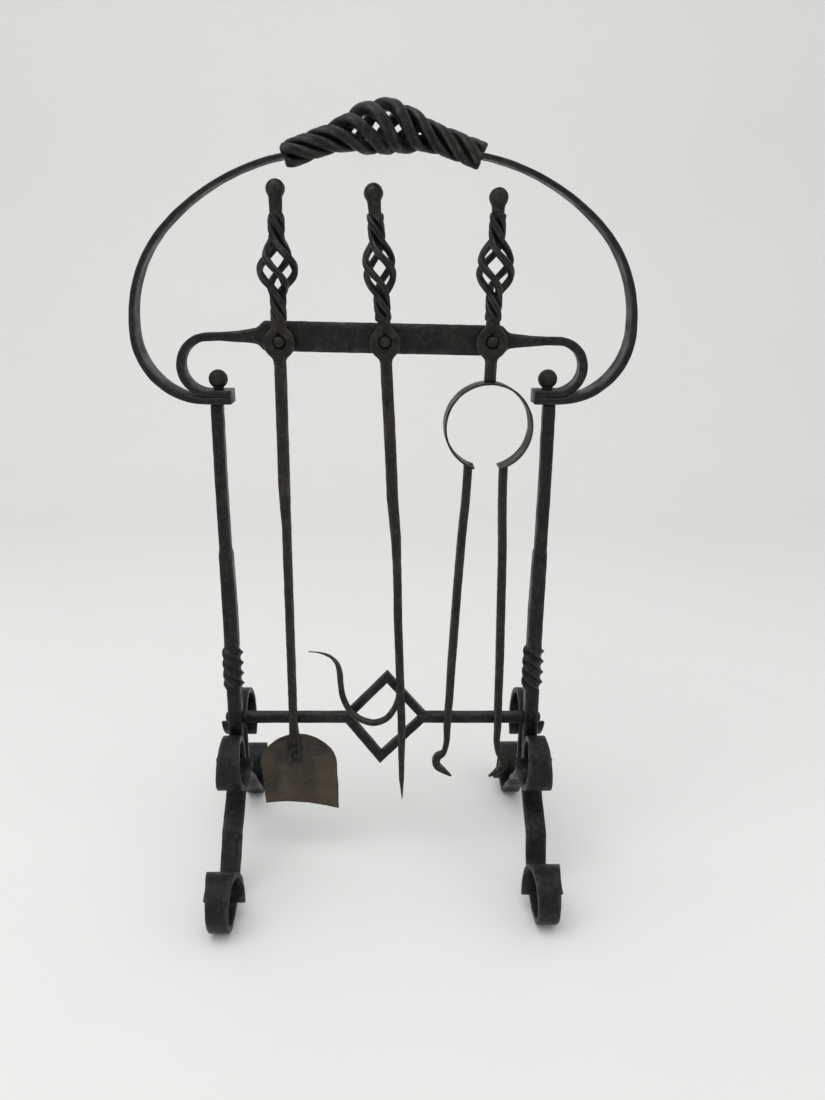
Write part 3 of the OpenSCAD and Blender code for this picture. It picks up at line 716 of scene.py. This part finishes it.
def eye(tool, shank_w, shank_t):
    """Flat eye round the peg, drawn up into the neck and down into the shank."""
    theta = np.radians(np.arange(0, 360, 3.0))
    across, up = np.cos(theta), np.sin(theta)
    tiny = 1e-6
    neck = np.minimum(6.2 / np.maximum(np.abs(across), tiny), 24 / np.maximum(up, tiny))
    foot = np.minimum((shank_w / 2 - 0.4) / np.maximum(np.abs(across), tiny),
                      23 / np.maximum(-up, tiny))
    column = np.where(up > 0, neck, foot)
    disc = np.sqrt(EYE_R**2 - (EYE_SINK * across) ** 2) - EYE_SINK * up
    outer = (disc**5 + column**5) ** (1 / 5)
    hole = EYE_HOLE_D / 2
    neck_grows = NECK_DEPTH / 2 - EYE_T / 2
    foot_grows = shank_t / 2 - 0.5 - EYE_T / 2
    rings = []
    for i in range(len(theta)):
        reach = np.array([hole, hole + 0.7, outer[i] - 1.6, outer[i] - 0.45, outer[i]])
        level = reach * up[i]
        half = EYE_T / 2 + (ease(level, 11, 23) * neck_grows + ease(-level, 12, 22) * foot_grows)
        half = half - EYE_ROUNDING
        loop = [(r, -h) for r, h in zip(reach, half)]
        loop += [(r, h) for r, h in zip(reach[::-1], half[::-1])]
        rings.append([(r * across[i], y, r * up[i] - EYE_DROP) for r, y in loop])
    rings = np.array(rings)
    m, n = rings.shape[:2]
    faces = [(i * n + j, i * n + (j + 1) % n, (i + 1) % m * n + (j + 1) % n, (i + 1) % m * n + j)
             for i in range(m) for j in range(n)]
    edge = np.tile([1, 0, 0, 1, 1, 1, 1, 0, 0, 1], (m, 1)).astype(float)
    half_lean = {t: (HANDLE_LEAN[t] + SHANK_LEAN[t]) / 2 for t in TOOLS}
    return hung(tool, (rings.reshape(-1, 3), faces, edge.reshape(-1)), half_lean)


def drawn(tool, knots, radius=1.4):
    """A drawn bar down from the eye: knots give (height, across, width, depth)."""
    knots = np.array(knots, float)[::-1]
    z = np.arange(knots[0, 0], knots[-1, 0] + 0.01, 2.5)
    x, w, d = (np.interp(z, knots[:, 0], knots[:, i]) for i in (1, 2, 3))
    path = np.stack([x, 0 * z, z], 1)
    return hung(tool, sweep(path, X_AXIS, Y_AXIS, w, d, radius), SHANK_LEAN)


SHAFT_X = 0.4
TAB_T = 4.0
SHOVEL_KNOTS = ((-13, 0, 10, 6), (-21, SHAFT_X, 12, 8.4), (-28, SHAFT_X, 12, 9), (-150, SHAFT_X, 12, 9),
                (-190, SHAFT_X + 1, 9.6, 8), (-418, SHAFT_X + 1.6, 9.4, 7), (-436, SHAFT_X + 2, 12, TAB_T),
                (-468, SHAFT_X + 2, 15, TAB_T - 1))
POKER_KNOTS = ((-13, 0, 10, 6), (-21, 0.3, 12, 8.4), (-28, 0.4, 12, 9), (-97, 1.7, 12, 9),
               (-160, 2.2, 12, 9), (-203, 4.4, 10.8, 8.5), (-226, 4.5, 9.4, 8), (-248, 4.6, 9.2, 8),
               (-293, 3.7, 9.3, 8), (-413, 4, 9, 8), (-450, 2.9, 8, 7), (-490, 1.7, 5.8, 5.8),
               (-517, 1.6, 1.2, 1.2))
BOW_C_Z = -84.0
BOW_R, BOW_T, BOW_W = 44.7, 2.2, 27.0
CROWN_Z = BOW_C_Z + BOW_R
TONGS_KNOTS = ((-13, 0, 9.5, 6), (-21, 0, 11.5, 7.6), (-27, 0, 11.5, 8), (CROWN_Z + 0.9, 0, 11.5, 8))
PAN_W = 87.0
PAN_X = 7.3
PAN_TOP, PAN_LOW, PAN_SHOULDER = -433.0, -523.0, -464.0
PAN_BACK_Y = 2.0
PAN_T = 1.8
PAN_BEND_R = 130.0
PAN_LIP = 2.4


def pan_outline():
    """The pan's edge: a straight front edge, nearly straight sides and an arched top."""
    half = PAN_W / 2
    rise = PAN_TOP - PAN_SHOULDER
    arch = [(PAN_X + (half - 2 * abs(math.sin(a))) * math.cos(a), PAN_SHOULDER + rise * math.sin(a))
            for a in np.radians(np.arange(0, 181, 4))]
    low_left = (PAN_X - half + 4, PAN_LOW + 3)
    low_right = (PAN_X + half + 1.5, PAN_LOW - 3)
    corners = [low_left, low_right] + arch + [low_left]
    points = []
    for a, b in zip(corners[:-1], corners[1:]):
        a, b = np.array(a), np.array(b)
        steps = max(1, round(float(np.linalg.norm(b - a)) / 2.5))
        points.extend(a + (b - a) * i / steps for i in range(steps))
    return np.array(points)


def shovel_pan():
    """Sheet bent round the shaft's line, with the back edge turned up into a shallow lip."""
    edge = pan_outline()
    centre = np.array([PAN_X, -482.0])
    rim = [0.905, 0.925, 0.945, 0.965, 0.985, 0.995]
    shares = np.concatenate([[0.04], np.linspace(0.12, 0.88, 20), rim])
    n = len(edge)
    rings = []
    for face, order in ((FRONT, shares), (REAR, shares[::-1])):
        for f in order:
            p = centre + (edge - centre) * f
            bend = PAN_BEND_R - np.sqrt(PAN_BEND_R**2 - (p[:, 0] - PAN_X) ** 2)
            top = ease(edge[:, 1], PAN_SHOULDER - 14, PAN_SHOULDER + 8)
            lip = PAN_LIP * top * ease(f, 0.9, 0.97)
            thick = PAN_T / 2 * (1 if f < 0.99 else 0.55)
            y = PAN_BACK_Y + PAN_T / 2 - bend - lip + face * thick
            rings.append(np.stack([p[:, 0], y, p[:, 1]], 1))
    points = np.concatenate(rings)
    m = len(rings)
    faces = [(i * n + j, i * n + (j + 1) % n, (i + 1) * n + (j + 1) % n, (i + 1) * n + j)
             for i in range(m - 1) for j in range(n)]
    ends = [np.mean(rings[0], axis=0), np.mean(rings[-1], axis=0)]
    faces += [(m * n, (j + 1) % n, j) for j in range(n)]
    faces += [(m * n + 1, (m - 1) * n + j, (m - 1) * n + (j + 1) % n) for j in range(n)]
    per_ring = [1.0 if f > 0.97 else 0.0 for f in shares]
    edge_mask = np.repeat(per_ring + per_ring[::-1], n)
    return [(np.concatenate([points, ends]) + PIVOT["shovel"], faces, np.concatenate([edge_mask, [0, 0]]))]


PAN_RIVET = ((0, -4), (2, -3.7), (3.4, -2.8), (3.6, -2.2), (2, -1.8), (2, 1.9), (3.6, 2.1), (2.6, 3.2),
             (0, 3.6))
PAN_RIVET_Z = (-445, -459)


def shovel_rivets():
    """Two rivets that hold the shaft's flattened end to the pan."""
    x = SHAFT_X + 2
    turned = [lathe(PAN_RIVET, (x, 0, z), Y_AXIS, 24) for z in PAN_RIVET_Z]
    return [hung("shovel", part, SHANK_LEAN) for part in turned]


HOOK = ((15.5, -374), (15.4, -387), (9.5, -403.5), (0, -415), (-12.5, -419), (-27, -414.5),
        (-39.5, -403), (-46.5, -388), (-49, -372), (-50, -357.5), (-53.2, -346), (-60, -338.5),
        (-70.5, -334), (-84, -332.3))


def poker_hook():
    """The poker's side hook, from the shaft round and up to its point."""
    path2d = resampled(np.array(HOOK, float), 1.5)
    s = walked(path2d)
    slim = ease(s, s[-1] - 55, s[-1])
    path = upright(path2d)
    points, faces, edge_mask = bent_bar(path, 7 - 5.6 * slim, 6.6 - 5.4 * slim, 2.2)
    return [(points + PIVOT["poker"], faces, edge_mask)]


CROWN_GAP = 0.5
BOW_END_X = 13.4


def tongs_bow(side):
    """Half of the spring bow, from its crown round to its square end."""
    top = math.degrees(math.asin(CROWN_GAP / 2 / BOW_R))
    end = math.degrees(math.asin(BOW_END_X / BOW_R))
    mid_r = BOW_R - BOW_T / 2
    path = upright(arc((0, BOW_C_Z), mid_r, mid_r, 90 - top, -90 + end, 110))
    part = bent_bar(path, BOW_W, BOW_T, 0.7, end_round=0.3)
    return [hung("tongs", flipped(part, side), SHANK_LEAN)]


ARM_TOP_X = 18.3
ARM_TOP_Z = BOW_C_Z - BOW_R * math.cos(math.asin(ARM_TOP_X / BOW_R))
ARM_BAR = ((ARM_TOP_X, ARM_TOP_Z + 1.4), (ARM_TOP_X, ARM_TOP_Z - 4), (22.2, -217), (26, -331),
           (28.4, -420), (29.8, -452), (31, -456.5))
CLAW = ((36.6, -463), (37.8, -468), (36.4, -473))
CLAW_TIP = ((30, -480.5), (22, -486.5))
CLAW_OUT = {LEFT: (1.8, 0), RIGHT: (0, 0)}
ARM_T = (8.8, 8.8, 9, 9.2, 8.4, 6, 5.8, 8.5, 9, 8.5, 6, 2.6)
ARM_W = (8, 8, 8, 8, 7, 6, 7, 9, 10, 9, 6, 3)


def tongs_arm(side):
    """An arm of the tongs, with the bent claw that grips."""
    knots = np.concatenate([ARM_BAR, np.array(CLAW) + CLAW_OUT[side], CLAW_TIP])
    s = walked(knots)
    path2d = resampled(knots, 1.8)
    t = walked(path2d) * s[-1] / walked(path2d)[-1]
    part = bent_bar(upright(path2d), np.interp(t, s, ARM_W), np.interp(t, s, ARM_T), 1.3)
    return [hung("tongs", flipped(part, side), SHANK_LEAN)]


# --- making the pieces --------------------------------------------------------------------

for word, side in SIDES.items():
    build(f"forged_post_{word}", post(side), "stand", "forged_iron", [f"post_{word}"])
    build(f"forged_ball_{word}", ball(side), "stand", "worn_iron", [f"post_ball_{word}"])
    build(f"forged_hoop_{word}", hoop_arm(side), "stand", "forged_iron", [f"hoop_arm_{word}"])
    build(f"forged_rail_{word}", rail(side), "stand", "forged_iron", [f"rail_{word}"])
    build(f"forged_rivets_{word}", leg_rivets(side), "stand", "worn_iron", [f"leg_rivets_{word}"])
    for place, end in (("front", FRONT), ("rear", REAR)):
        build(f"forged_leg_{place}_{word}", leg(side, end), "stand", "forged_iron", [f"leg_{place}_{word}"])
for k in (1, 2, 3, 4):
    build(f"forged_strand_{k}", handle_strand(k), "stand", "forged_iron", [f"handle_strand_{k}"])
build("forged_crossbar", crossbar(), "stand", "forged_iron", ["crossbar"], sharp=30)
build("forged_diamond_upper", diamond_half(DIAMOND[[0, 1, 2]]), "stand", "forged_iron", ["diamond_upper"])
build("forged_diamond_lower", diamond_half(DIAMOND[[2, 3, 0]]), "stand", "forged_iron", ["diamond_lower"])
for i, tool in enumerate(TOOLS):
    build(f"forged_peg_{tool}", peg(PEG_X[i]), f"{tool}_peg", "worn_iron", [f"peg_{tool}"])
    build(f"forged_{tool}_knob", knob(tool), tool, "worn_iron", [f"{tool}_knob"])
    for k in (1, 2, 3, 4):
        build(f"forged_{tool}_rod_{k}", handle_rod(tool, k), tool, "forged_iron", [f"{tool}_rod_{k}"])
shafts = {"shovel": (SHOVEL_KNOTS, 12, 9), "poker": (POKER_KNOTS, 12, 9), "tongs": (TONGS_KNOTS, 11.5, 8)}
for tool, (knots, wide, deep) in shafts.items():
    parts = [eye(tool, wide, deep), drawn(tool, knots)]
    build(f"forged_{tool}_shank", parts, tool, "worn_iron", [f"{tool}_shank"])
build("sheet_shovel_pan", shovel_pan(), "shovel", "rusted_sheet", ["shovel_pan"],
      dents=((30.0, 0.35), (9.0, 0.12)))
build("forged_shovel_rivets", shovel_rivets(), "shovel", "worn_iron", ["shovel_rivets"])
build("forged_poker_hook", poker_hook(), "poker", "worn_iron", ["poker_hook"])
for word, side in SIDES.items():
    bow = build(f"spring_bow_{word}", tongs_bow(side), None, "worn_iron", [f"tongs_bow_{word}"],
                dents=((14.0, 0.1),))
    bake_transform(bow)
    build(f"forged_arm_{word}", tongs_arm(side), f"tongs_jaw_{word}", "worn_iron", [f"tongs_arm_{word}"])

# --- studio -------------------------------------------------------------------------------


def paper():
    """Plain pale paper with the faintest mottle."""
    n = Nodes("studio_paper")
    tone = n.mix(n.noise(3.0, 4.0), rgb(0.80, 0.80, 0.79), rgb(0.83, 0.83, 0.82))
    return n.finish({"Base Color": tone, "Roughness": 0.9})


def backdrop():
    """A floor that curves up into a wall behind, as one roll of paper."""
    near, wall, bend, high, half = -3.0, 2.6, 1.1, 4.5, 5.0
    profile = [(near, 0.0), (wall - bend, 0.0)]
    for a in np.radians(np.arange(5, 91, 5)):
        profile.append((wall - bend + bend * math.sin(a), bend * (1 - math.cos(a))))
    profile.append((wall, high))
    points = [(x, y, z) for y, z in profile for x in (-half, half)]
    faces = [(2 * i, 2 * i + 1, 2 * i + 3, 2 * i + 2) for i in range(len(profile) - 1)]
    mesh = bpy.data.meshes.new("studio_backdrop")
    mesh.from_pydata(points, [], faces)
    mesh.shade_smooth()
    mesh.materials.append(paper())
    sheet = bpy.data.objects.new("studio_backdrop", mesh)
    bpy.context.scene.collection.objects.link(sheet)


def area_light(name, place, aim, size, power):
    """A round soft light at place, turned to face aim, in metres and watts."""
    data = bpy.data.lights.new(name, "AREA")
    data.shape = "DISK"
    data.size = size
    data.energy = power
    lamp = bpy.data.objects.new(name, data)
    lamp.location = place
    direction = np.array(aim) - np.array(place)
    lamp.rotation_euler = (math.acos(-direction[2] / np.linalg.norm(direction)), 0,
                           math.atan2(direction[1], direction[0]) - math.pi / 2)
    bpy.context.scene.collection.objects.link(lamp)


WORLD_STRENGTH = 0.74


def studio_light():
    """An even pale sky, a large light overhead and two weaker ones in front."""
    world = bpy.data.worlds.new("studio")
    world.use_nodes = True
    sky = world.node_tree.nodes["Background"]
    sky.inputs["Color"].default_value = rgb(1.0, 1.0, 0.99)
    sky.inputs["Strength"].default_value = WORLD_STRENGTH
    bpy.context.scene.world = world
    area_light("overhead", (-0.5, -0.6, 2.6), (0, 0, 0.3), 2.2, 23)
    area_light("front_left", (-2.2, -1.6, 1.7), (0, 0, 0.4), 1.6, 8)
    area_light("front_right", (2.2, -1.2, 1.5), (0, 0, 0.4), 1.6, 4)


SENSOR_WIDTH = 36.0
LENS = 29.12727
CAMERA_PLACE = (0.0, -0.920, 0.645)
CAMERA_PITCH = 16.6
FRAMING_SHIFT = 0.0268


def camera():
    """The camera in front of the set, a little above its crossbar and looking slightly down."""
    data = bpy.data.cameras.new("camera")
    data.sensor_width = SENSOR_WIDTH
    data.lens = LENS
    data.shift_x = FRAMING_SHIFT
    data.clip_start = 0.02
    viewer = bpy.data.objects.new("camera", data)
    viewer.location = CAMERA_PLACE
    viewer.rotation_euler = (math.radians(90 - CAMERA_PITCH), 0, 0)
    bpy.context.scene.collection.objects.link(viewer)
    bpy.context.scene.camera = viewer


backdrop()
studio_light()
camera()
bpy.context.scene.view_settings.view_transform = "Standard"
